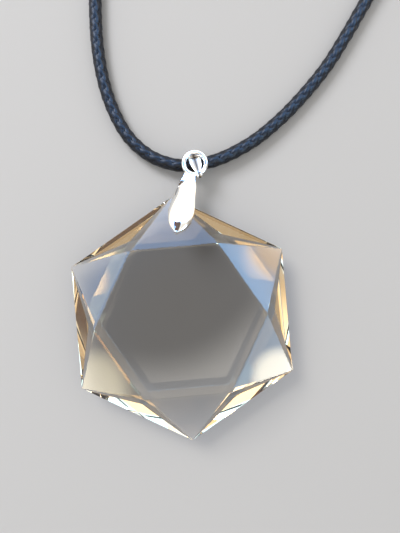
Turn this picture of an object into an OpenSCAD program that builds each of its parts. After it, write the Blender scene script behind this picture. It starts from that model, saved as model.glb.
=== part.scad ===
// Hexagonal crystal pendant on a braided cord, lying on its back.
// The origin is the middle of the crystal's back table, +Z points up out of
// the front table and +Y points from the middle to the top corner.

/* [Crystal] */
// Width of the crystal across two opposite corners
crystal_w = 36; // [32:0.5:42]
// Width of the flat table, front and back, across two opposite corners
table_w = 24.4; // [21:0.2:27]
// Thickness of the crystal from table to table
crystal_t = 7; // [6.5:0.25:9]
// Height of the narrow band round the edge
girdle_h = 0.5; // [0.2:0.1:1.2]
// Diameter of the hole that takes the clip's two pegs
hole_d = 1.2; // [1:0.1:1.6]
// Distance from the top corner in to the hole
hole_in = 4.1; // [3.6:0.1:4.6]
// How far the hole lies to the right of the corner's middle line
hole_side = 0.8; // [0:0.1:1.2]

/* [Pinch clip] */
// Length of a leg from its tip to the eye
leg_l = 9.2; // [8:0.1:10]
// Width of a leg at its widest
leg_w = 3.7; // [3:0.1:4.4]
// Height of a leg's dome above its rim
dome_h = 0.75; // [0.4:0.05:0.8]
// Thickness of a leg's rim
rim_t = 0.25; // [0.15:0.05:0.35]
// Distance from a leg's tip to the middle of its peg
tip_l = 1.4; // [1:0.1:1.8]
// Space between a leg and the facet under it
leg_gap = 0.15; // [0.1:0.05:0.3]
// Space between a peg and the wall of the hole
peg_gap = 0.1; // [0.05:0.05:0.2]
// Turn of the clip about its pegs, toward the right
swing = 17; // [10:1:24]
// Outside diameter of the round eye at the top of the clip
eye_d = 4; // [3.8:0.1:4.6]
// Thickness of the eye's wire
eye_wire = 0.7; // [0.55:0.05:0.75]
// How far the eye lies to the right of the legs' middle line
eye_side = 0.35; // [0.2:0.05:0.45]
// Space between the eye's wire and the cord under it
eye_gap = 0.35; // [0.3:0.05:0.45]

/* [Bail] */
// Width of the bail where it is widest, over the cord
bail_w = 1.8; // [1.4:0.1:1.9]
// Thickness of the bail's metal
bail_t = 0.28; // [0.2:0.02:0.32]
// Turn of the bail about the upright
bail_turn = 11; // [8:0.5:12]
// How far the bail lies to the right of the eye's middle
bail_side = 0.15; // [0.05:0.05:0.2]
// How far above the eye's middle, seen from the front, the cord crosses it
cord_up = 0.2; // [0:0.05:0.25]
// Space between the bail and the cord
cord_gap = 0.1; // [0.05:0.05:0.2]
// Space between the bail and the eye's wire
wire_gap = 0.14; // [0.1:0.02:0.2]

/* [Cord] */
// Diameter of the cord
cord_d = 2; // [1.5:0.1:2.2]

/* [Clasp] */
// Length of the barrel that joins the cord's ends
clasp_l = 12; // [9:0.5:15]
// Diameter of the barrel
clasp_d = 4; // [3.4:0.1:5]
// Depth of the cord's socket in each end of the barrel
socket_l = 3; // [2:0.5:4]
// Space between the cord and the wall of its socket
socket_gap = 0.1; // [0.05:0.05:0.2]
// Bevel on the barrel's edges
clasp_bevel = 0.4; // [0.1:0.1:0.5]

/* [Hidden] */
$fn = 48;

// Crystal: two tables turned by 30 degrees from the outline
corner_r = crystal_w / 2;
table_r = table_w / 2;
table_in = table_r * cos(30);
girdle_low = (crystal_t - girdle_h) / 2;
girdle_top = (crystal_t + girdle_h) / 2;
hole_y = corner_r - hole_in;

// Height of the facet that runs from the front table to the top corner
facet_slope = (crystal_t - girdle_top) / (corner_r - table_in);
function facet_z(y) = girdle_top + (corner_r - y) * facet_slope;

// Bail and cord: the cord is lifted a little where the bail runs under it
cord_turn = 1;
floor_gap = 0.03;
bail_in = cord_d / 2 + bail_w / 2 * tan(bail_turn - cord_turn) + cord_gap;
cord_z = floor_gap + bail_t + bail_in;

// Clip: places are (to the right, along the legs from the hole)
eye_r = (eye_d - eye_wire) / 2;
eye_z = cord_z + cord_d / 2 + eye_gap + eye_wire / 2;
leg_end = leg_l - tip_l;
eye_along = leg_end + sqrt(pow(eye_r, 2) - pow(eye_side, 2));
eye_at = [
    hole_side + eye_along * sin(swing) + eye_side * cos(swing),
    hole_y + eye_along * cos(swing) - eye_side * sin(swing)
];
cord_at = eye_at + [0, cord_up];

// The leg is bent where it has passed the crystal's corner by this much
past_corner = 0.6;
bend_along = hole_in / cos(swing) + past_corner;

// Sections of a leg, as shares: [place from tip to eye, half width, height of
// the dome]
LEG = [
    [0.00, 0.10, 0.06], [0.03, 0.27, 0.18], [0.06, 0.44, 0.33],
    [0.11, 0.66, 0.60], [0.18, 0.86, 0.93], [0.25, 0.96, 1.00],
    [0.34, 1.00, 1.00], [0.46, 0.97, 1.00], [0.55, 0.90, 0.95],
    [0.63, 0.83, 0.88], [0.72, 0.77, 0.80], [0.79, 0.72, 0.72],
    [0.84, 0.66, 0.66], [0.89, 0.58, 0.60], [0.94, 0.50, 0.54],
    [1.00, 0.46, 0.50]
];
neck_t = rim_t + dome_h * LEG[len(LEG) - 1][2];
dome_steps = 10;

// Outline of the bail from the front, as shares: [place from its top end to
// its lower end, half width]
BAIL = [
    [0.00, 0.26], [0.03, 0.56], [0.07, 0.78], [0.12, 0.90], [0.18, 0.97],
    [0.26, 1.00], [0.38, 0.98], [0.48, 0.91], [0.57, 0.80], [0.65, 0.66],
    [0.73, 0.54], [0.82, 0.48], [0.92, 0.45], [1.00, 0.40]
];

// Route of the cord, in mm from where it crosses the eye: [right, up, share
// of the lift at the bail, share of the lift at the clasp]
CORD_LEFT = [
    [53.5, 179.5, 0, 0.5], [46, 171, 0, 0.1], [37.5, 159, 0, 0],
    [29, 145, 0, 0], [20.5, 130.5, 0, 0], [12.5, 115, 0, 0],
    [5, 99, 0, 0], [-1.5, 82.5, 0, 0], [-6.5, 65.5, 0, 0],
    [-10, 50, 0, 0], [-12, 36, 0, 0], [-13, 27, 0, 0],
    [-13.3, 19.8, 0, 0], [-12.8, 13.8, 0, 0], [-11.5, 8.8, 0.1, 0],
    [-9.5, 4.8, 0.35, 0], [-6.5, 1.8, 0.7, 0], [-3, 0.2, 1, 0]
];
CORD_RIGHT = [
    [3, 0.3, 1, 0], [6.5, 1.5, 0.7, 0], [10.5, 3.6, 0.35, 0],
    [15.5, 7.4, 0.1, 0], [21, 12.8, 0, 0], [25, 18, 0, 0],
    [28.5, 23, 0, 0], [36.5, 34.2, 0, 0], [46, 47.8, 0, 0],
    [56, 62, 0, 0], [66, 76.5, 0, 0], [75, 92, 0, 0],
    [82.5, 109, 0, 0], [88, 126.5, 0, 0], [91, 144, 0, 0],
    [91.5, 159, 0, 0], [88.5, 172, 0, 0.1], [83.5, 180, 0, 0.5]
];
CLASP = [68.5, 184];
cord_lead = 3.5;
cord_sides = 8;
cord_steps = 2;

// Six points round the middle, the first at the angle turn
function hexagon(r, turn, z) =
    [for (k = [0:5]) [r * cos(60 * k + turn), r * sin(60 * k + turn), z]];

// Closed solid through rings of points that all have the same count
module loft(rings) {
    n = len(rings[0]);
    last = len(rings) - 1;
    points = [for (ring = rings) each ring];
    sides = [for (i = [0:last - 1], j = [0:n - 1])
        let (a = i * n + j, b = i * n + (j + 1) % n)
        each [[a, b, b + n], [a, b + n, a + n]]];
    caps = [
        [for (j = [n - 1:-1:0]) j],
        [for (j = [0:n - 1]) last * n + j]
    ];
    polyhedron(points, concat(sides, caps), convexity = 6);
}

module crystal() {
    points = concat(
        hexagon(table_r, 0, 0),
        hexagon(corner_r, 30, girdle_low),
        hexagon(corner_r, 30, girdle_top),
        hexagon(table_r, 0, crystal_t)
    );
    faces = concat(
        [[0, 1, 2, 3, 4, 5], [23, 22, 21, 20, 19, 18]],
        [for (k = [0:5]) let (up = (k + 1) % 6, down = (k + 5) % 6) each [
            [k, 6 + k, up],
            [6 + down, 6 + k, k],
            [12 + k, 12 + up, 6 + up, 6 + k],
            [18 + up, 12 + k, 18 + k],
            [18 + k, 12 + k, 12 + down]
        ]]
    );
    color("lightblue")
    difference() {
        polyhedron(points, faces);
        translate([hole_side, hole_y, -1])
            cylinder(d = hole_d, h = crystal_t + 2);
    }
}

// Height of the leg's inner face: along the facet, then bent to the neck by
// an amount that grows with the square of the distance past the corner
function along_facet(right, along) =
    facet_z(hole_y + along * cos(swing) - right * sin(swing)) + leg_gap;
function seat_z(right, along, neck_z, end) =
    let (
        past = max(0, (along - bend_along) / (end - bend_along)),
        bend = neck_z - neck_t / 2 - along_facet(right, end)
    ) along_facet(right, along) + bend * past * past;

// One leg of the front pair's shape, with its peg
module leg(neck_z, end, width) {
    loft([for (row = LEG)
        let (
            along = row[0] * (end + tip_l) - tip_l,
            half = row[1] * width / 2
        ) concat(
            [[-half, along, seat_z(-half, along, neck_z, end)],
             [half, along, seat_z(half, along, neck_z, end)]],
            [for (j = [0:dome_steps])
                let (u = 1 - 2 * j / dome_steps)
                [u * half, along, seat_z(u * half, along, neck_z, end) + rim_t
                    + dome_h * row[2] * (1 - u * u)]]
        )
    ]);
    peg_end = (crystal_t + peg_gap) / 2;
    translate([0, 0, peg_end])
        cylinder(
            d = hole_d - 2 * peg_gap,
            h = seat_z(0, 0, neck_z, end) + rim_t - peg_end
        );
}

module pinch_clip() {
    back_short = 0.2;
    back_narrow = 0.95;
    color("silver")
    translate([hole_side, hole_y, 0])
    rotate([0, 0, -swing]) {
        leg(eye_z, leg_end, leg_w);
        translate([0, 0, crystal_t])
        mirror([0, 0, 1])
            leg(crystal_t - eye_z, leg_end - back_short, leg_w * back_narrow);
        translate([eye_side, eye_along, eye_z])
        rotate_extrude()
            translate([eye_r, 0])
            circle(d = eye_wire, $fn = 24);
    }
}

// Side view of the bail's loop: round the cord at one end and round the
// eye's wire at the other, larger by the given amount
module bail_belt(more) {
    hull() {
        translate([cord_up, cord_z])
            circle(r = bail_in + more);
        translate([-eye_r, eye_z])
            circle(r = eye_wire / 2 + wire_gap + more);
    }
}

module bail() {
    top_end = cord_up + bail_in + bail_t;
    low_end = eye_r + eye_wire / 2 + wire_gap + bail_t;
    right_side = [for (row = BAIL)
        [row[1] * bail_w / 2, top_end - row[0] * (top_end + low_end)]];
    left_side = [for (i = [len(BAIL) - 1:-1:0])
        [-right_side[i][0], right_side[i][1]]];
    color("gainsboro")
    translate([eye_at[0], eye_at[1], 0])
    rotate([0, 0, bail_turn])
    translate([bail_side, 0, 0])
    intersection() {
        rotate([90, 0, 90])
        linear_extrude(height = bail_w + 1, center = true)
        difference() {
            bail_belt(bail_t);
            bail_belt(0);
        }
        linear_extrude(height = crystal_t)
            polygon(concat(right_side, left_side));
    }
}

// Points of the cord's middle line, from one end in the clasp to the other
clasp_z = max(clasp_d, cord_d) / 2;
clasp_half = clasp_l / 2;
function clasp_point(side, out) =
    [CLASP[0] + side * (clasp_half + out), CLASP[1], clasp_z];
function cord_point(row) = [
    row[0], row[1],
    cord_d / 2 + row[2] * (cord_z - cord_d / 2) + row[3] * (clasp_z - cord_d / 2)
];
cord_route = concat(
    [clasp_point(-1, -socket_l), clasp_point(-1, 0), clasp_point(-1, cord_lead)],
    [for (row = CORD_LEFT) cord_point(row)],
    [[0, 0, cord_z]],
    [for (row = CORD_RIGHT) cord_point(row)],
    [clasp_point(1, cord_lead), clasp_point(1, 0), clasp_point(1, -socket_l)]
);

// Smooth curve through the route's points, never lower than a lying cord
function curve(p, i, t) =
    let (
        a = p[max(i - 1, 0)], b = p[i], c = p[i + 1],
        d = p[min(i + 2, len(p) - 1)],
        q = (2 * b + (c - a) * t + (2 * a - 5 * b + 4 * c - d) * t * t
            + (3 * b - a - 3 * c + d) * t * t * t) / 2
    ) [q[0], q[1], max(q[2], cord_d / 2)];
cord_line = concat(
    [for (i = [0:len(cord_route) - 2], k = [0:cord_steps - 1])
        curve(cord_route, i, k / cord_steps)],
    [cord_route[len(cord_route) - 1]]
);

function unit(v) = v / norm(v);

module cord() {
    last = len(cord_line) - 1;
    color("dimgray")
    translate([cord_at[0], cord_at[1], 0])
    loft([for (i = [0:last])
        let (
            ahead = unit(cord_line[min(i + 1, last)] - cord_line[max(i - 1, 0)]),
            side = unit(cross([0, 0, 1], ahead)),
            up = cross(ahead, side)
        ) [for (k = [0:cord_sides - 1])
            let (turn = 90 - 360 * k / cord_sides)
            cord_line[i] + cord_d / 2 * (cos(turn) * side + sin(turn) * up)]
    ]);
}

module clasp() {
    r = clasp_d / 2;
    bore = cord_d / 2 + socket_gap;
    floor_z = clasp_half - socket_l;
    color("silver")
    translate([cord_at[0] + CLASP[0], cord_at[1] + CLASP[1], clasp_z])
    rotate([0, 90, 0])
    rotate_extrude()
        polygon([
            [0, -floor_z], [bore, -floor_z], [bore, -clasp_half],
            [r - clasp_bevel, -clasp_half], [r, -clasp_half + clasp_bevel],
            [r, clasp_half - clasp_bevel], [r - clasp_bevel, clasp_half],
            [bore, clasp_half], [bore, floor_z], [0, floor_z]
        ]);
}

crystal();
pinch_clip();
bail();
cord();
clasp();
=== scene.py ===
# %% [markdown]
# # A hexagonal crystal pendant on a braided cord
# The pendant is a flat six-sided cut glass in a silver pinch clip. A small
# bail joins the clip to a waxed cord, and a barrel clasp closes the cord. The
# solid model is loaded first: it fixes every place and size, and each finished
# surface below takes over from one of its solids.

import bpy
import numpy as np
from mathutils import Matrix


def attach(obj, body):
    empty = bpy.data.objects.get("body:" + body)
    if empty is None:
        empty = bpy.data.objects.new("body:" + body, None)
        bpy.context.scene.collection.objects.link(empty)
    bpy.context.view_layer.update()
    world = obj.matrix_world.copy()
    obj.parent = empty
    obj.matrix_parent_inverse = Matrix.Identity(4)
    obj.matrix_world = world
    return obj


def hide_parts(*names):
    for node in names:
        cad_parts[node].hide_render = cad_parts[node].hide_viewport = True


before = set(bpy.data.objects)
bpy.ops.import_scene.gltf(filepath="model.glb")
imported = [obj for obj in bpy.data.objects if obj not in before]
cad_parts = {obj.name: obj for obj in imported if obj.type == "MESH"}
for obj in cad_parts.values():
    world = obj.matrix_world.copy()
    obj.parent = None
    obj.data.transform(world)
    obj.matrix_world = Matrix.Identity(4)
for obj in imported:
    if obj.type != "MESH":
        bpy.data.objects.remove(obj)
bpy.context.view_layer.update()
MM = 0.001
print("solids:", ", ".join(sorted(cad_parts)))

# %% [markdown]
# ## Sizes
# These are the solid model's own driving sizes. What follows from them, such
# as the eye's place, is worked out here in the same way, so that each finished
# surface lands on its solid.

# %% Driving sizes, in mm
# glass: middle to outer corner, middle to table corner, thickness, edge band
CORNER_R, TABLE_R, GLASS_T, GIRDLE = 18.0, 12.2, 7.0, 0.5
# drilled hole: radius, the space round a peg in it, how far right of the top
# corner and how far in from it
HOLE_R, PEG_GAP, HOLE_SIDE, HOLE_IN = 0.6, 0.1, 0.8, 4.1
# clip: turn about its pegs, then a leg's length, width, height of the dome,
# thickness of the rim, tip to peg, and space to the glass
SWING = np.radians(17)
LEG_L, LEG_W, DOME, RIM, TIP, LEG_GAP = 9.2, 3.7, 0.75, 0.25, 1.4, 0.15
# how much shorter the back leg is, and its share of the front leg's width
BACK_SHORT, BACK_NARROW = 0.2, 0.95
# eye: outer diameter, wire, shift to the right, space to the cord below it
EYE_D, EYE_WIRE, EYE_SIDE, EYE_GAP = 4.0, 0.7, 0.35, 0.35
# bail: width, thickness, shift to the right, space to the eye's wire, then
# its turn and that of the cord inside it
BAIL_W, BAIL_T, BAIL_SIDE, WIRE_GAP = 1.8, 0.28, 0.15, 0.14
BAIL_TURN, CORD_TURN = np.radians(11), np.radians(1)
# cord: radius, space to the bail, how far above the eye's middle it crosses,
# seen from the front, and the bail's space to the surface below
CORD_R, CORD_GAP, CORD_UP, FLOOR_GAP = 1.0, 0.1, 0.2, 0.03
# clasp: half its length, radius, depth and radius of a socket, rounded edge
CLASP_HALF, BARREL_R, SOCKET, BORE, EDGE = 6.0, 2.0, 3.0, 1.1, 0.4

# %% Places that follow from them
HOLE = np.array([HOLE_SIDE, CORNER_R - HOLE_IN])
BAIL_IN = CORD_R + BAIL_W / 2 * np.tan(BAIL_TURN - CORD_TURN) + CORD_GAP
CORD_Z = FLOOR_GAP + BAIL_T + BAIL_IN
EYE_R = (EYE_D - EYE_WIRE) / 2
EYE_Z = CORD_Z + CORD_R + EYE_GAP + EYE_WIRE / 2
LEG_END = LEG_L - TIP
EYE_ALONG = LEG_END + np.sqrt(EYE_R**2 - EYE_SIDE**2)
along_leg = np.array([np.sin(SWING), np.cos(SWING)])
right_of_leg = np.array([np.cos(SWING), -np.sin(SWING)])
EYE = HOLE + EYE_ALONG * along_leg + EYE_SIDE * right_of_leg
CROSSING = EYE + [0, CORD_UP]
print("middle of the eye in mm:", EYE.round(3), round(EYE_Z, 3))

# %% [markdown]
# ## The camera
# The pendant lies on its back and is seen from straight above. The view is
# turned by 5 degrees. A long lens from far off would draw both tables at one
# size, but in the photograph the front one is a little larger and shifted
# against the back one, so the camera is close, with a wide lens.

# %% Place the camera
# lens in mm, turn of the view, and the camera's place in mm
LENS, VIEW_TURN = 30.12, np.radians(-5)
VIEW_FROM = np.array([3.325, 7.434, 69.5])
camera_data = bpy.data.cameras.new("camera")
camera_data.lens = LENS
camera_data.clip_start = 1 * MM
bpy.context.scene.view_settings.view_transform = "Standard"
camera = bpy.data.objects.new("camera", camera_data)
camera.location = VIEW_FROM * MM
camera.rotation_euler = (0, 0, VIEW_TURN)
bpy.context.scene.collection.objects.link(camera)
bpy.context.scene.camera = camera
print("camera height in mm:", round(camera.location.z / MM, 1))

# %% [markdown]
# ## The cord's route
# A cord lies where it was laid. It could be dropped by a simulation, but then
# nobody chooses where it ends up, so its middle line is a smooth curve through
# chosen points. It is lifted a little where the bail runs under it and at the
# clasp, and is nowhere lower than its own radius above the surface.

# %% Points on the route, in mm
# the clasp's middle, right and up from where the cord crosses the eye, and
# how far straight out of it the cord is led
CLASP, CLASP_Z, LEAD = np.array([68.5, 184.0]), BARREL_R, 3.5
# right and up from the crossing, share of the lift at the bail, share of the
# lift at the clasp
LEFT = [
    [53.5, 179.5, 0, 0.5], [46, 171, 0, 0.1], [37.5, 159, 0, 0],
    [29, 145, 0, 0], [20.5, 130.5, 0, 0], [12.5, 115, 0, 0],
    [5, 99, 0, 0], [-1.5, 82.5, 0, 0], [-6.5, 65.5, 0, 0],
    [-10, 50, 0, 0], [-12, 36, 0, 0], [-13, 27, 0, 0],
    [-13.3, 19.8, 0, 0], [-12.8, 13.8, 0, 0], [-11.5, 8.8, 0.1, 0],
    [-9.5, 4.8, 0.35, 0], [-6.5, 1.8, 0.7, 0], [-3, 0.2, 1, 0],
]
RIGHT = [
    [3, 0.3, 1, 0], [6.5, 1.5, 0.7, 0], [10.5, 3.6, 0.35, 0],
    [15.5, 7.4, 0.1, 0], [21, 12.8, 0, 0], [25, 18, 0, 0],
    [28.5, 23, 0, 0], [36.5, 34.2, 0, 0], [46, 47.8, 0, 0],
    [56, 62, 0, 0], [66, 76.5, 0, 0], [75, 92, 0, 0],
    [82.5, 109, 0, 0], [88, 126.5, 0, 0], [91, 144, 0, 0],
    [91.5, 159, 0, 0], [88.5, 172, 0, 0.1], [83.5, 180, 0, 0.5],
]
print("chosen points:", len(LEFT) + 1 + len(RIGHT))


# %% Place them
def clasp_end(side):
    """Three points through one end of the clasp, from inside its socket out."""
    out = np.array([-SOCKET, 0, LEAD])
    x = CLASP[0] + side * (CLASP_HALF + out)
    return np.column_stack([x, np.full(3, CLASP[1]), np.full(3, CLASP_Z)])


def lifted(rows):
    """Height is the radius, plus the bail's lift and the clasp's by share."""
    rows = np.array(rows, float)
    z = CORD_R + rows[:, 2] * (CORD_Z - CORD_R) + rows[:, 3] * (CLASP_Z - CORD_R)
    return np.column_stack([rows[:, :2], z])


route = np.vstack([
    clasp_end(-1), lifted(LEFT), [[0, 0, CORD_Z]], lifted(RIGHT),
    clasp_end(1)[::-1],
])
route[:, :2] += CROSSING
print("route's points:", len(route))


# %% Draw the smooth middle line
def smooth_line(p, per_span):
    """Catmull-Rom curve: each span is a cubic in t whose ends are two points
    and whose slopes are half the way between each one's two neighbours."""
    a = np.vstack([p[:1], p[:-2]])[:, None]
    b, c = p[:-1][:, None], p[1:][:, None]
    d = np.vstack([p[2:], p[-1:]])[:, None]
    t = (np.arange(per_span) / per_span)[None, :, None]
    q = (2 * b + (c - a) * t + (2 * a - 5 * b + 4 * c - d) * t**2
         + (3 * b - a - 3 * c + d) * t**3) / 2
    return np.vstack([q.reshape(-1, p.shape[1]), p[-1:]])


SPAN_STEPS = 80
middle = smooth_line(route, SPAN_STEPS)
middle[:, 2] = np.maximum(middle[:, 2], CORD_R)
along = np.concatenate(
    [[0], np.cumsum(np.linalg.norm(np.diff(middle, axis=0), axis=1))]
)
CORD_L = along[-1]
print("cord in mm:", round(CORD_L, 1))
print("closed loop in mm:", round(CORD_L - 2 * SOCKET + 2 * CLASP_HALF, 1))

# %% [markdown]
# ## From arrays to a mesh
# Blender's curves can carry a profile too, but its shape stays the same all
# the way. Here each surface is a grid of points worked out by a formula: rows
# along it and columns round it. The columns close on themselves. A ring's last
# row joins its first one, and the ends of any other tube are closed by one face
# each.


# %% Angles and faces
def around(count):
    """Angles at equal steps once round: a full turn times 0, 1, 2 and so on
    out of the count."""
    return np.arange(count) / count * 2 * np.pi


def tube_faces(rows, cols, first, ring):
    """The squares between each two neighbouring rows and columns, counted
    from the first point's number, and the two end faces of an open tube."""
    i, j = np.meshgrid(np.arange(rows if ring else rows - 1), np.arange(cols),
                       indexing="ij")
    up, right = (i + 1) % rows, (j + 1) % cols
    corners = [i * cols + j, i * cols + right, up * cols + right, up * cols + j]
    faces = (np.stack(corners, axis=-1).reshape(-1, 4) + first).tolist()
    if not ring:
        faces.append((np.arange(cols)[::-1] + first).tolist())
        faces.append(((rows - 1) * cols + np.arange(cols) + first).tolist())
    return faces


def tube_places(rows, cols, length):
    """For each corner of each face of an open tube: its column's number and
    its place along. The last column's faces end at the count of columns, not
    at 0, so that no pattern runs backwards over the seam."""
    i, j = np.meshgrid(np.arange(rows - 1), np.arange(cols), indexing="ij")
    u = np.stack([j, j + 1, j + 1, j], -1).ravel()
    v = np.stack([i, i, i + 1, i + 1], -1).ravel() * length / (rows - 1)
    ends = np.zeros((2 * cols, 2))
    return np.vstack([np.column_stack([u, v]), ends])


print("faces of a tube of 3 rows and 8 columns:", len(tube_faces(3, 8, 0, False)))


# %% Make a piece from grids
def add_piece(name, tubes, replaces, material_name):
    """Joins tubes into one piece at the origin. A tube is a grid of points in
    mm and whether it is a ring."""
    points, faces, count = [], [], 0
    for grid, ring in tubes:
        rows, cols = grid.shape[:2]
        faces += tube_faces(rows, cols, count, ring)
        points.append(grid.reshape(-1, 3))
        count += rows * cols
    mesh = bpy.data.meshes.new(name)
    mesh.from_pydata(np.vstack(points) * MM, [], faces)
    mesh.shade_smooth()
    mesh.materials.append(bpy.data.materials[material_name])
    piece = bpy.data.objects.new(name, mesh)
    bpy.context.scene.collection.objects.link(piece)
    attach(piece, "root")
    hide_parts(replaces)
    print(name, "triangles:", sum(len(f) - 2 for f in faces))
    return piece


# %% [markdown]
# ## Colours and materials
# A colour is written as it looks on a screen and turned to linear light once.
# A material starts from what the real one is, and its numbers from typical
# values, which are then set against the photograph.


# %% Small helpers for materials
def linear(code):
    """sRGB to linear light: the low part is a straight line, the rest a power
    of 2.4."""
    c = np.array([int(code[i:i + 2], 16) for i in (1, 3, 5)]) / 255
    c = np.where(c <= 0.04045, c / 12.92, ((c + 0.055) / 1.055) ** 2.4)
    return (*c.tolist(), 1.0)


def add_node(tree, kind, values=None, links=None, **settings):
    """Adds a node, sets its sockets and settings and links its inputs."""
    node = tree.nodes.new(kind)
    for key, value in settings.items():
        setattr(node, key, value)
    for key, value in (values or {}).items():
        node.inputs[key].default_value = value
    for key, source in (links or {}).items():
        tree.links.new(source, node.inputs[key])
    return node


def new_material(name):
    """An empty material and its tree."""
    material = bpy.data.materials.new(name)
    material.use_nodes = True
    material.node_tree.nodes.clear()
    return material.node_tree


print("screen grey #808080 in linear light:", round(linear("#808080")[0], 3))

# %% [markdown]
# ### Cut glass with a champagne tint
# Polished glass has an index of about 1.52. A colour on its surface would tint
# all of it alike, so the tint is in the glass itself: it is hardly there
# through the 7 mm of the table, and turns amber where light runs the long way
# to the edge facets. Shadow rays pass, because plain path tracing would give
# clear glass a black shadow. About half of that light is lost at each face,
# more than real glass takes, because facets turn light away from the floor
# below. What passes is cooled a little, against the tint, so that the floor
# stays neutral under the table.

# %% Champagne glass
glass_tree = new_material("champagne_cut_glass")
glass = add_node(glass_tree, "ShaderNodeBsdfPrincipled", {
    "Base Color": linear("#FFFDF9"), "Roughness": 0.0, "IOR": 1.52,
    "Transmission Weight": 1.0,
})
through = add_node(glass_tree, "ShaderNodeBsdfTransparent", {
    "Color": linear("#BCC4D3"),
})
glass_ray = add_node(glass_tree, "ShaderNodeLightPath")
to_light = add_node(glass_tree, "ShaderNodeMath", links={
    0: glass_ray.outputs["Is Shadow Ray"], 1: glass_ray.outputs["Is Diffuse Ray"],
}, operation="MAXIMUM")
surface = add_node(glass_tree, "ShaderNodeMixShader", links={
    0: to_light.outputs[0], 1: glass.outputs[0], 2: through.outputs[0],
})
tint = add_node(glass_tree, "ShaderNodeVolumeAbsorption", {
    "Color": linear("#F3CF63"), "Density": 36.0,
})
add_node(glass_tree, "ShaderNodeOutputMaterial", links={
    "Surface": surface.outputs[0], "Volume": tint.outputs[0],
})
print("glass density per m:", tint.inputs["Density"].default_value)

# %% [markdown]
# ### Polished silver plate
# Plated stampings are nearly mirrors. Handling leaves hair-fine scratches and
# a faint haze, so the roughness wanders a little over the surface. The bail's
# stamped dish is rougher, and a dark reflection is painted into its colour: the
# bail carries the dish's share as an attribute, and elsewhere it is nought.

# %% Silver plate
# how many times in a mm the haze and the scratches vary, the depth of a
# scratch in mm, and how much rougher the recess is
HAZE, SCRATCHES, SCRATCH_DEPTH, RECESS_ROUGHER = 0.9, 6.0, 0.02, 0.2
silver_tree = new_material("polished_silver_plate")
on_silver = add_node(silver_tree, "ShaderNodeTexCoord")
silver_haze = add_node(silver_tree, "ShaderNodeTexNoise", {
    "Scale": HAZE / MM, "Detail": 4.0,
}, {"Vector": on_silver.outputs["Object"]})
polish = add_node(silver_tree, "ShaderNodeMapRange", {
    "To Min": 0.05, "To Max": 0.13,
}, {"Value": silver_haze.outputs["Fac"]})
scratches = add_node(silver_tree, "ShaderNodeTexNoise", {
    "Scale": SCRATCHES / MM, "Detail": 2.0,
}, {"Vector": on_silver.outputs["Object"]})
scratched = add_node(silver_tree, "ShaderNodeBump", {
    "Strength": 0.04, "Distance": SCRATCH_DEPTH * MM,
}, {"Height": scratches.outputs["Fac"]})
# the dish's share darkens the silver to #3E352C, a painted dark reflection, and
# makes it rougher
dish_painted_reflection = add_node(silver_tree, "ShaderNodeAttribute", attribute_name="dish_painted_reflection")
silver_with_painted_reflection = add_node(silver_tree, "ShaderNodeMixRGB", {
    "Color1": linear("#F1EFEA"), "Color2": linear("#3E352C"),
}, {"Fac": dish_painted_reflection.outputs["Fac"]})
silver_rough = add_node(silver_tree, "ShaderNodeMath", {1: RECESS_ROUGHER}, {
    0: dish_painted_reflection.outputs["Fac"], 2: polish.outputs[0],
}, operation="MULTIPLY_ADD")
silver = add_node(silver_tree, "ShaderNodeBsdfPrincipled", {"Metallic": 1.0}, {
    "Base Color": silver_with_painted_reflection.outputs[0], "Roughness": silver_rough.outputs[0],
    "Normal": scratched.outputs[0],
})
add_node(silver_tree, "ShaderNodeOutputMaterial",
         links={"Surface": silver.outputs[0]})
print("nodes in the silver:", len(silver_tree.nodes))

# %% [markdown]
# ### Waxed cord
# The cord is polyester yarn drawn through wax: nearly black, with a soft gloss
# on the crown of each strand. The yarn's filaments run along the strand and
# are drawn 0.1 mm apart, coarser than real, so that they show. The pattern
# reads the strand's own map. Its unit across is one column of the mesh, about
# 0.3 mm, and a wave of scale 1 repeats about three times in it. Wear changes
# the tone about every 1.7 mm along a strand.

# %% Waxed braid
# depth of the grooves between filaments, in mm
FILAMENT_DEPTH = 0.03
braid_tree = new_material("waxed_polyester_braid")
on_strand = add_node(braid_tree, "ShaderNodeUVMap", uv_map="strand")
filaments = add_node(braid_tree, "ShaderNodeTexWave", {
    "Scale": 1.0, "Distortion": 1.2, "Detail": 1.5,
}, {"Vector": on_strand.outputs[0]}, bands_direction="X", wave_type="BANDS")
wear = add_node(braid_tree, "ShaderNodeTexNoise", {"Scale": 0.6, "Detail": 3.0},
                {"Vector": on_strand.outputs[0]})
yarn_tone = add_node(braid_tree, "ShaderNodeMixRGB", {
    "Color1": linear("#03060B"), "Color2": linear("#0D1624"),
}, {"Fac": wear.outputs["Fac"]})
wax = add_node(braid_tree, "ShaderNodeMapRange", {
    "To Min": 0.26, "To Max": 0.42,
}, {"Value": wear.outputs["Fac"]})
ribbed = add_node(braid_tree, "ShaderNodeBump", {
    "Strength": 0.25, "Distance": FILAMENT_DEPTH * MM,
}, {"Height": filaments.outputs["Fac"]})
braid = add_node(braid_tree, "ShaderNodeBsdfPrincipled", {
    "IOR": 1.5, "Specular IOR Level": 0.32,
}, {
    "Base Color": yarn_tone.outputs["Color"], "Roughness": wax.outputs[0],
    "Normal": ribbed.outputs[0],
})
add_node(braid_tree, "ShaderNodeOutputMaterial",
         links={"Surface": braid.outputs[0]})
print("nodes in the cord:", len(braid_tree.nodes))

# %% [markdown]
# ## The braid
# Eight strands go round the cord, four each way, and each passes over and
# under the others in turn. That is what gives the staggered leaves: a leaf is
# the part of a strand that lies on top, and there is one every 1.8 mm. A bump
# on a plain tube would leave its outline smooth, so each strand is a surface.
# Each hand of strands is one piece, and a plain core fills the middle.


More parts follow.
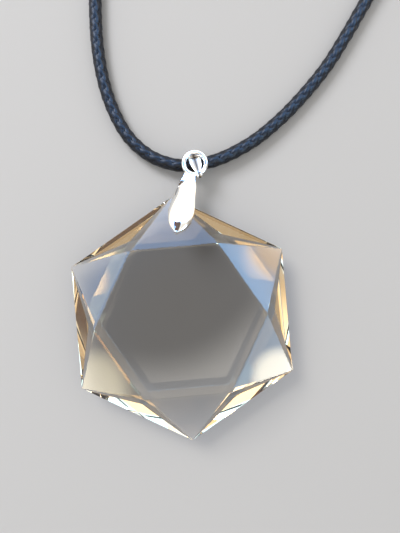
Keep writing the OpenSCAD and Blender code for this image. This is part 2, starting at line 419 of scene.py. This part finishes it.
# %% Follow the cord
def at_length(s):
    """Middle line and its side and up directions at lengths along the cord.
    The line's direction is taken between two points, one a step before and
    one a step after. Side is level and square to it, and up is square to
    both."""
    step = 0.3
    s = np.clip(s, 0, CORD_L)
    centre = np.stack([np.interp(s, along, middle[:, k]) for k in range(3)], -1)
    ahead = np.stack([
        np.interp(s + step, along, middle[:, k])
        - np.interp(s - step, along, middle[:, k]) for k in range(3)], -1)
    ahead /= np.linalg.norm(ahead, axis=-1, keepdims=True)
    side = np.stack([-ahead[..., 1], ahead[..., 0], 0 * ahead[..., 0]], -1)
    side /= np.linalg.norm(side, axis=-1, keepdims=True)
    return centre, side, np.cross(ahead, side)


print("the cord's first point in mm:", at_length(0.0)[0].round(2))


# %% Shape a strand
# strands each way, and leaf to leaf; then a strand's width and thickness, and
# its distance from the cord's middle with its rise and fall, all in mm
EACH_WAY, PITCH = 4, 1.8
STRAND_W, STRAND_T = 1.14, 0.36
LIE_R, RISE = 0.788, 0.032


def strand(number, hand, rows=2850, cols=8):
    """One strand: its angle grows by a quarter turn in each pitch, its
    distance from the middle rises and sinks once in each pitch, and its
    section is a flat ellipse bent round the cord."""
    s = np.linspace(0, CORD_L, rows)[:, None]
    phi = -around(cols)
    slope = np.arctan(2 * np.pi * LIE_R / (EACH_WAY * PITCH))
    across = STRAND_W / 2 * np.cos(phi)[None, :]
    radius = LIE_R + hand * RISE * np.cos(2 * np.pi * s / PITCH)
    angle = 2 * np.pi * (number - hand * s / PITCH) / EACH_WAY
    angle = angle + across * np.cos(slope) / radius
    centre, side, up = at_length(s + hand * across * np.sin(slope))
    reach = (radius + STRAND_T / 2 * np.sin(phi)[None, :])[..., None]
    return centre + reach * (np.cos(angle)[..., None] * side
                             + np.sin(angle)[..., None] * up)


# %% Lay the strands
for hand, name in ((1, "cord_strands_right"), (-1, "cord_strands_left")):
    grids = [strand(n, hand) for n in range(EACH_WAY)]
    strands = add_piece(name, [(g, False) for g in grids], "cord",
                        "waxed_polyester_braid")
    rows, cols = grids[0].shape[:2]
    places = np.tile(tube_places(rows, cols, CORD_L), (EACH_WAY, 1))
    strand_map = strands.data.uv_layers.new(name="strand")
    strand_map.data.foreach_set("uv", places.ravel())

# %% Fill the middle with a core
CORE_R, CORE_ROWS, CORE_COLS = 0.52, 900, 10
core_round = around(CORE_COLS)
centre, side, up = at_length(
    np.linspace(0, CORD_L, CORE_ROWS)[:, None] + 0 * core_round)
core = centre + CORE_R * (np.cos(core_round)[None, :, None] * side
                          + np.sin(core_round)[None, :, None] * up)
core_piece = add_piece("cord_core", [(core, False)], "cord",
                       "waxed_polyester_braid")
core_piece.data.uv_layers.new(name="strand")

# %% [markdown]
# ## The pinch clip
# Two thin legs are stamped to a seed shape, domed outward, and end in a peg
# each. Squeezed together they hold the crystal by its drilled hole. They could
# be smoothed from a few faces by subdivision, which would pull them off their
# solids, so both are drawn from the solids' own table of sections, smoothed
# between its rows. The dome falls away toward the tip, and there the front leg
# mirrors one dark patch of the sky as a short mark.

# %% Sections of a leg
# place from tip to eye, share of the half width, share of the dome's height
LEG = np.array([
    [0.00, 0.10, 0.06], [0.03, 0.27, 0.18], [0.06, 0.44, 0.33],
    [0.11, 0.66, 0.60], [0.18, 0.86, 0.93], [0.25, 0.96, 1.00],
    [0.34, 1.00, 1.00], [0.46, 0.97, 1.00], [0.55, 0.90, 0.95],
    [0.63, 0.83, 0.88], [0.72, 0.77, 0.80], [0.79, 0.72, 0.72],
    [0.84, 0.66, 0.66], [0.89, 0.58, 0.60], [0.94, 0.50, 0.54],
    [1.00, 0.46, 0.50],
])
SECTION_STEPS = 8
sections = smooth_line(LEG, SECTION_STEPS)
NECK_T = RIM + DOME * LEG[-1, 2]
# how far past the glass's corner a leg starts to bend, in mm
PAST_CORNER = 0.6
print("sections:", len(sections), "neck in mm:", round(NECK_T, 3))


# %% How high a leg lies
def along_facet(right, ahead):
    """Height just above the facet that the leg lies on."""
    y = HOLE[1] + ahead * np.cos(SWING) - right * np.sin(SWING)
    girdle_top = (GLASS_T + GIRDLE) / 2
    slope = (GLASS_T - girdle_top) / (CORNER_R - TABLE_R * np.cos(np.pi / 6))
    return girdle_top + (CORNER_R - y) * slope + LEG_GAP


def seat(right, ahead, neck_z, end):
    """Height of a leg's inner face: along the facet, then bent to the neck by
    an amount that grows with the square of the distance past the corner."""
    bend_at = (CORNER_R - HOLE[1]) / np.cos(SWING) + PAST_CORNER
    past = np.maximum((ahead - bend_at) / (end - bend_at), 0)
    bend = neck_z - NECK_T / 2 - along_facet(right, end)
    return along_facet(right, ahead) + bend * past**2


print("front leg's inner face at its peg, in mm above the surface:",
      round(seat(0, 0, EYE_Z, LEG_END), 2))


# %% Shape a leg
def leg(neck_z, end, width, dome_points=33, inner_points=9):
    """Loops round the leg: the dome from right to left, its height falling
    with the square of the distance from the middle, and the inner face."""
    ahead = sections[:, :1] * (end + TIP) - TIP
    half = sections[:, 1:2] * width / 2
    u = np.linspace(1, -1, dome_points)[None, :]
    top_z = (seat(u * half, ahead, neck_z, end) + RIM
             + DOME * sections[:, 2:3] * (1 - u**2))
    top = np.stack([u * half, ahead + 0 * u, top_z], -1)
    w = np.linspace(-1, 1, inner_points)[None, :]
    low = np.stack([w * half, ahead + 0 * w,
                    seat(w * half, ahead, neck_z, end)], -1)
    return np.concatenate([top, low], axis=1)[:, ::-1]


def place_clip(grid):
    """Turns the clip about its pegs and moves it to the hole."""
    c, s = np.cos(-SWING), np.sin(-SWING)
    x, y = grid[..., 0], grid[..., 1]
    return np.stack([c * x - s * y + HOLE[0], s * x + c * y + HOLE[1],
                     grid[..., 2]], -1)


def flipped(grid):
    """The other side of the glass: heights counted down from its thickness,
    with the order round the leg turned so that its faces still look out."""
    back = grid[:, ::-1].copy()
    back[..., 2] = GLASS_T - back[..., 2]
    return back


# %% Shape the pegs and the eye
def peg(top_z, low_z, cols=24):
    """A round post between two heights, thinner than the hole by the gap."""
    r, turn = HOLE_R - PEG_GAP, around(cols)
    z = np.array([low_z, top_z])[:, None] + 0 * turn
    return np.stack([r * np.cos(turn) + 0 * z, r * np.sin(turn) + 0 * z, z], -1)


def wire_ring(cols=24, rows=96):
    """The eye: a circle of wire carried round a larger circle."""
    a, b = around(rows)[:, None], around(cols)[None, :]
    r = EYE_R + EYE_WIRE / 2 * np.cos(b)
    ring = np.stack([EYE_SIDE + r * np.cos(a), EYE_ALONG + r * np.sin(a),
                     EYE_Z + EYE_WIRE / 2 * np.sin(b) + 0 * a], -1)
    return ring[:, ::-1]


# %% Stamp and solder the clip
# each leg: height of the neck and distance from the peg to the leg's end
FRONT_END = (EYE_Z, LEG_END)
BACK_END = (GLASS_T - EYE_Z, LEG_END - BACK_SHORT)
# the two pegs stop a gap apart, and their roots stand inside the rims
PEG_END, PEG_ROOT = (GLASS_T + PEG_GAP) / 2, RIM / 2
# how far an edge is rounded, in mm, and how much its faces turn at least
ROUNDED, SHARP = 0.05, np.radians(50)
front_peg = peg(seat(0, 0, *FRONT_END) + PEG_ROOT, PEG_END)
back_peg = peg(seat(0, 0, *BACK_END) + PEG_ROOT, PEG_END)
clip_tubes = [
    (place_clip(leg(*FRONT_END, LEG_W)), False),
    (place_clip(flipped(leg(*BACK_END, LEG_W * BACK_NARROW))), False),
    (place_clip(front_peg), False), (place_clip(flipped(back_peg)), False),
    (place_clip(wire_ring()), True),
]
clip = add_piece("clip_finished", clip_tubes, "pinch_clip",
                 "polished_silver_plate")
rim = clip.modifiers.new("rim", "BEVEL")
rim.width, rim.segments, rim.limit_method = ROUNDED * MM, 2, "ANGLE"
rim.angle_limit = SHARP

# %% [markdown]
# ## The bail
# The bail is a strip of the same metal, wide over the cord and narrow at its
# foot, bent round the cord and round the eye's wire. Seen from the side it is
# a belt round two circles, and its width is read from a short table. The
# stamping leaves a raised rim round a shallow dish, which draws a thin line. A
# curve with a fixed profile could give neither, so each section is worked out
# on its own.

# %% Sections of the bail
# place from the top end to the lower end, share of the half width
BAIL = np.array([
    [0.00, 0.26], [0.03, 0.56], [0.07, 0.78], [0.12, 0.90], [0.18, 0.97],
    [0.26, 1.00], [0.38, 0.98], [0.48, 0.91], [0.57, 0.80], [0.65, 0.66],
    [0.73, 0.54], [0.82, 0.48], [0.92, 0.45], [1.00, 0.40],
])
# depth of the dish in mm, and its share of the width
DISH, DISH_W = 0.07, 0.72
# the powers of cosine and sine that give the section its round corners, and
# the points round it
FLAT_POWER, THICK_POWER, BAIL_COLS = 0.35, 0.6, 56
print("widths in the bail's table:", len(BAIL))


# %% Run a belt round two circles
def belt(rows=200, samples=4000):
    """A belt round two circles: where its outward direction turns, it follows
    the circle that reaches furthest that way. Gives points and directions."""
    a = np.linspace(0, 2 * np.pi, samples, endpoint=False)
    out = np.column_stack([np.cos(a), np.sin(a)])
    big, small = np.array([CORD_UP, CORD_Z]), np.array([-EYE_R, EYE_Z])
    small_r = EYE_WIRE / 2 + WIRE_GAP
    far = (out @ big + BAIL_IN >= out @ small + small_r)[:, None]
    points = np.where(far, big + BAIL_IN * out, small + small_r * out)
    step = np.linalg.norm(np.roll(points, -1, 0) - points, axis=1)
    total = np.concatenate([[0], np.cumsum(step)])
    want = np.linspace(0, total[-1], rows, endpoint=False)
    both = np.hstack([points, out])
    closed = np.vstack([both, both[:1]])
    picked = np.stack([np.interp(want, total, column) for column in closed.T], -1)
    picked[:, 2:] /= np.linalg.norm(picked[:, 2:], axis=1, keepdims=True)
    return picked[:, :2], picked[:, 2:]


bail_line, bail_out = belt()
bail_top = CORD_UP + BAIL_IN + BAIL_T
bail_low = -(EYE_R + EYE_WIRE / 2 + WIRE_GAP + BAIL_T)
print("bail's length in the front view in mm:", round(bail_top - bail_low, 2))

# %% Bend the bail
bail_middle = bail_line[:, 0] + bail_out[:, 0] * BAIL_T / 2
bail_half = np.interp((bail_top - bail_middle) / (bail_top - bail_low),
                      BAIL[:, 0], BAIL[:, 1])[:, None] * BAIL_W / 2
# section: a rectangle with round corners, as a power of the sine and cosine,
# whose outer face is dished inside a rim by a squared parabola
bail_round = around(BAIL_COLS)[None, :]
flat = np.sign(np.cos(bail_round)) * np.abs(np.cos(bail_round)) ** FLAT_POWER
thick = np.sign(np.sin(bail_round)) * np.abs(np.sin(bail_round)) ** THICK_POWER
dish = DISH * np.clip(1 - (flat / DISH_W) ** 2, 0, 1) ** 2 * (thick > 0)
depth = BAIL_T / 2 * (1 + thick) - dish
bail_x = bail_half * flat + BAIL_SIDE
bail_y = bail_line[:, :1] + bail_out[:, :1] * depth
bail_z = bail_line[:, 1:] + bail_out[:, 1:] * depth
strip = np.stack([
    np.cos(BAIL_TURN) * bail_x - np.sin(BAIL_TURN) * bail_y + EYE[0],
    np.sin(BAIL_TURN) * bail_x + np.cos(BAIL_TURN) * bail_y + EYE[1],
    bail_z + 0 * bail_x,
], -1)
bail = add_piece("bail_finished", [(strip, True)], "bail",
                 "polished_silver_plate")
# the dish's share, which paints a dark reflection into the silver's colour and
# makes the dish rougher
dish_painted_reflection_share = np.broadcast_to(dish / DISH, strip.shape[:2])
bail_painted_reflection = bail.data.attributes.new("dish_painted_reflection", "FLOAT", "POINT")
bail_painted_reflection.data.foreach_set("value", dish_painted_reflection_share.ravel().astype(np.float32))

# %% [markdown]
# ## The clasp
# The photograph's edge cuts the clasp off, so it is a plain turned barrel. A
# turned part is a profile carried round an axis, which Blender's Spin or Screw
# does too. Here the profile's points are multiplied by the angles in one step.

# %% Turn the clasp
# the socket's floor from the clasp's middle, and the radius at which its face
# is closed, nearly a point
SOCKET_FLOOR, NEARLY_POINT = CLASP_HALF - SOCKET, 0.001
# points along a rounded edge and round the barrel
EDGE_POINTS, BARREL_COLS = 8, 96
bow = np.linspace(0, np.pi / 2, EDGE_POINTS)
rounded_edge = np.column_stack([
    BARREL_R - EDGE + EDGE * np.cos(bow), CLASP_HALF - EDGE + EDGE * np.sin(bow),
])
mouth = np.array([
    [BORE, CLASP_HALF], [BORE, SOCKET_FLOOR], [NEARLY_POINT, SOCKET_FLOOR],
])
half_profile = np.vstack([rounded_edge, mouth])
profile = np.vstack([half_profile[::-1] * [1, -1], half_profile])
barrel_r, barrel_x = profile[:, :1], profile[:, 1:]
barrel_round = around(BARREL_COLS)[None, :]
barrel = np.stack([
    CROSSING[0] + CLASP[0] + barrel_x + 0 * barrel_round,
    CROSSING[1] + CLASP[1] + barrel_r * np.cos(barrel_round),
    CLASP_Z + barrel_r * np.sin(barrel_round),
], -1)
add_piece("clasp_finished", [(barrel, False)], "clasp",
          "polished_silver_plate")

# %% [markdown]
# ## The crystal
# Both sides are cut alike: a six-sided table turned by 30 degrees from the
# outline, six triangles from the table's edges out to the corners, and six
# from the outline's edges in to the table's corners. So the edges draw a
# six-pointed star. A cut stone is flat faces alone, so its corners are simply
# written down, and nothing smooths them. Polishing leaves each edge a hair
# rounded, and that catches light, so the hole is drilled first and all edges
# are eased at the end.


# %% Cut the glass
def six(r, turn_deg, z):
    """Six points on a circle, the first at the given angle."""
    a = np.radians(np.arange(6) * 60 + turn_deg)
    return np.column_stack([r * np.cos(a), r * np.sin(a), np.full(6, z)])


# degrees from the table's corners to the outline's
OUTLINE_TURN = 30
# corners 0 to 5 are the back table's, 6 to 11 and 12 to 17 the edge band's
# lower and upper ones, and 18 to 23 the front table's
corners = np.vstack([
    six(TABLE_R, 0, 0), six(CORNER_R, OUTLINE_TURN, (GLASS_T - GIRDLE) / 2),
    six(CORNER_R, OUTLINE_TURN, (GLASS_T + GIRDLE) / 2), six(TABLE_R, 0, GLASS_T),
])
facets = [[5, 4, 3, 2, 1, 0], [18, 19, 20, 21, 22, 23]]
for k in range(6):
    up, down = (k + 1) % 6, (k + 5) % 6
    facets += [
        [up, 6 + k, k], [k, 6 + k, 6 + down],
        [6 + k, 6 + up, 12 + up, 12 + k],
        [18 + k, 12 + k, 18 + up], [12 + down, 12 + k, 18 + k],
    ]
crystal_mesh = bpy.data.meshes.new("crystal_finished")
crystal_mesh.from_pydata(corners * MM, [], facets)
crystal_mesh.materials.append(bpy.data.materials["champagne_cut_glass"])
crystal = bpy.data.objects.new("crystal_finished", crystal_mesh)
bpy.context.scene.collection.objects.link(crystal)
print("crystal facets:", len(crystal_mesh.polygons))

# %% Make a drill
# sides of the drill, and how far it stands out of the glass, in mm
DRILL_SIDES, DRILL_OUT = 48, 1.0
drill_round = around(DRILL_SIDES)[None, :]
drill_z = np.array([[-DRILL_OUT], [GLASS_T + DRILL_OUT]])
drill_grid = np.stack([
    HOLE[0] + HOLE_R * np.cos(drill_round) + 0 * drill_z,
    HOLE[1] + HOLE_R * np.sin(drill_round) + 0 * drill_z,
    drill_z + 0 * drill_round,
], -1)
drill_mesh = bpy.data.meshes.new("drill")
drill_mesh.from_pydata(drill_grid.reshape(-1, 3) * MM, [],
                       tube_faces(2, DRILL_SIDES, 0, False))
drill = bpy.data.objects.new("drill", drill_mesh)
bpy.context.scene.collection.objects.link(drill)
print("drill points:", len(drill_mesh.vertices))

# %% Drill the hole and ease the edges
# how far an edge is eased, in mm, and how much its faces turn at least
EASED, FACET_TURN = 0.05, np.radians(8)
cut = crystal.modifiers.new("drill", "BOOLEAN")
cut.object, cut.operation, cut.solver = drill, "DIFFERENCE", "EXACT"
ease = crystal.modifiers.new("ease", "BEVEL")
ease.width, ease.segments, ease.limit_method = EASED * MM, 1, "ANGLE"
ease.angle_limit = FACET_TURN
bpy.context.view_layer.update()
finished = bpy.data.meshes.new_from_object(
    crystal.evaluated_get(bpy.context.evaluated_depsgraph_get()))
crystal.modifiers.clear()
crystal.data = finished
bpy.data.objects.remove(drill)
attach(crystal, "root")
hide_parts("crystal")
print("crystal faces after easing:", len(finished.polygons))

# %% [markdown]
# ## Floor and light
# The floor is plain and pale, and is lit by an even soft sky, so that it stays
# neutral. Glass and silver show only what is round them, so for mirrored and
# refracted rays the sky is what stands round a jewel out of doors: dim ground
# to the south, blue high up in the north, one bright cloud, patches of blue,
# of haze and of pale and warm light, and a dark shape overhead that reaches
# down to the north-west. A picture of a real sky would do this too, but each
# facet mirrors one small part of it, so the parts are worked out one by one,
# and each was placed for a facet.

# %% Lay the floor
# half its side in m, and how far it lies below the pendant, in mm
FLOOR_HALF, FLOOR_BELOW = 2.0, 0.02
square = np.array([[-1, -1], [1, -1], [1, 1], [-1, 1]]) * FLOOR_HALF
floor_mesh = bpy.data.meshes.new("floor")
floor_mesh.from_pydata(
    np.column_stack([square, np.full(4, -FLOOR_BELOW * MM)]), [], [(0, 1, 2, 3)])
floor = bpy.data.objects.new("floor", floor_mesh)
bpy.context.scene.collection.objects.link(floor)
floor_tree = new_material("pale_floor")
matte = add_node(floor_tree, "ShaderNodeBsdfPrincipled", {
    "Base Color": linear("#CDCBC8"), "Roughness": 0.9,
    "Specular IOR Level": 0.1,
})
add_node(floor_tree, "ShaderNodeOutputMaterial",
         links={"Surface": matte.outputs[0]})
floor_mesh.materials.append(bpy.data.materials["pale_floor"])
print("floor's side in m:", 2 * FLOOR_HALF)

# %% Parts of the mirrored sky
# hue and brightness of its four quarters
SOUTH_LOW, NORTH_LOW = ("#FFF6EA", 0.50), ("#FFF5E6", 1.70)
SOUTH_HIGH, NORTH_HIGH = ("#FFFAF1", 1.05), ("#92C1FF", 5.60)
# azimuth, counted from the right of the picture toward its top, height above
# the horizon, how far round there it is whole, and how far out it ends, all in
# degrees
HALVES = [("north", 104.5, 0, 84.2, 96.9), ("high up", 0, 90, 54.5, 65.2)]
# the same for what stands out, with its hue and brightness
PATCHES = [
    ("cloud", 270, 69, 12, 21, "#F9FBFF", 2.75),
    ("bright blue", 321, 34, 12.8, 21.5, "#B7DBFF", 5.50),
    ("haze", 320.8, 27.3, 2.2, 4.2, "#FFFBEA", 17.00),
    ("deep blue", 24, 48, 9.6, 14.5, "#96CAFF", 10.80),
    ("warm light", 25.5, 31.5, 3.3, 6, "#FFD39A", 8.00),
    ("pale south-west", 215, 23, 2, 5.5, "#FFF0C6", 8.50),
    ("pale south", 271, 25, 6, 12, "#FAFAFF", 2.50),
    ("dark north-west", 155, 45, 7.5, 10.5, "#FFC8B0", 0.16),
    ("dark higher up", 153, 62, 7.5, 11.5, "#FFC8B0", 0.16),
    ("dark overhead", 149, 83.3, 12.8, 19, "#FFE4D5", 0.18),
]


def light_of(hue, brightness):
    """A hue at a brightness that may be more than one."""
    return (*(np.array(linear(hue)[:3]) * brightness).tolist(), 1.0)


print("patches in the sky:", len(PATCHES))

# %% Find each part's place
world = bpy.data.worlds.new("studio")
bpy.context.scene.world = world
world.use_nodes = True
sky = world.node_tree
sky.nodes.clear()
direction = add_node(sky, "ShaderNodeTexCoord").outputs["Generated"]
share = {}
for name, azimuth, height, whole, end, *_ in HALVES + PATCHES:
    # how nearly a ray points there is the product of the two directions, and
    # the share is a smooth step between two values of it
    a, h = np.radians([azimuth, height])
    aim = (np.cos(h) * np.cos(a), np.cos(h) * np.sin(a), np.sin(h))
    near = add_node(sky, "ShaderNodeVectorMath", {1: aim}, {0: direction},
                    operation="DOT_PRODUCT")
    part = add_node(sky, "ShaderNodeMapRange", {
        "From Min": np.cos(np.radians(end)), "From Max": np.cos(np.radians(whole)),
    }, {"Value": near.outputs["Value"]}, interpolation_type="SMOOTHSTEP")
    share[name] = part.outputs[0]
print("places in the sky:", ", ".join(share))

# %% Colour the parts
low_part = add_node(sky, "ShaderNodeMixRGB", {
    1: light_of(*SOUTH_LOW), 2: light_of(*NORTH_LOW),
}, {0: share["north"]})
high_part = add_node(sky, "ShaderNodeMixRGB", {
    1: light_of(*SOUTH_HIGH), 2: light_of(*NORTH_HIGH),
}, {0: share["north"]})
sky_light = add_node(sky, "ShaderNodeMixRGB", links={
    0: share["high up"], 1: low_part.outputs[0], 2: high_part.outputs[0],
})
for name, *_, hue, brightness in PATCHES:
    sky_light = add_node(sky, "ShaderNodeMixRGB", {2: light_of(hue, brightness)}, {
        0: share[name], 1: sky_light.outputs[0],
    })
mirrored = add_node(sky, "ShaderNodeBackground", {"Strength": 1.0},
                    {"Color": sky_light.outputs[0]})
print("last patch laid over the sky:", name)

# %% Join it with the even sky
even = add_node(sky, "ShaderNodeBackground", {
    "Color": linear("#FFFFFF"), "Strength": 0.66,
})
sky_ray = add_node(sky, "ShaderNodeLightPath")
seen_in_glass = add_node(sky, "ShaderNodeMath", links={
    0: sky_ray.outputs["Is Glossy Ray"], 1: sky_ray.outputs["Is Transmission Ray"],
}, operation="MAXIMUM")
either = add_node(sky, "ShaderNodeMixShader", links={
    0: seen_in_glass.outputs[0], 1: even.outputs[0], 2: mirrored.outputs[0],
})
add_node(sky, "ShaderNodeOutputWorld", links={"Surface": either.outputs[0]})
print("nodes in the sky:", len(sky.nodes))

# %% Hang one soft panel
# place and side in m, and power in W
PANEL, PANEL_SIDE, PANEL_POWER = np.array([-0.25, 0.36, 0.39]), 0.26, 2.2
panel_light = bpy.data.lights.new("window", "AREA")
panel_light.size, panel_light.energy = PANEL_SIDE, PANEL_POWER
panel_light.color = linear("#F4F7FF")[:3]
panel = bpy.data.objects.new("window", panel_light)
panel.location = PANEL
# it looks at the pendant: tipped from straight down by the angle between its
# place and the upright, then turned to its own side
panel.rotation_euler = (np.arctan2(np.hypot(PANEL[0], PANEL[1]), PANEL[2]), 0,
                        np.arctan2(PANEL[1], PANEL[0]) + np.pi / 2)
bpy.context.scene.collection.objects.link(panel)
print("lights:", len(bpy.data.lights))
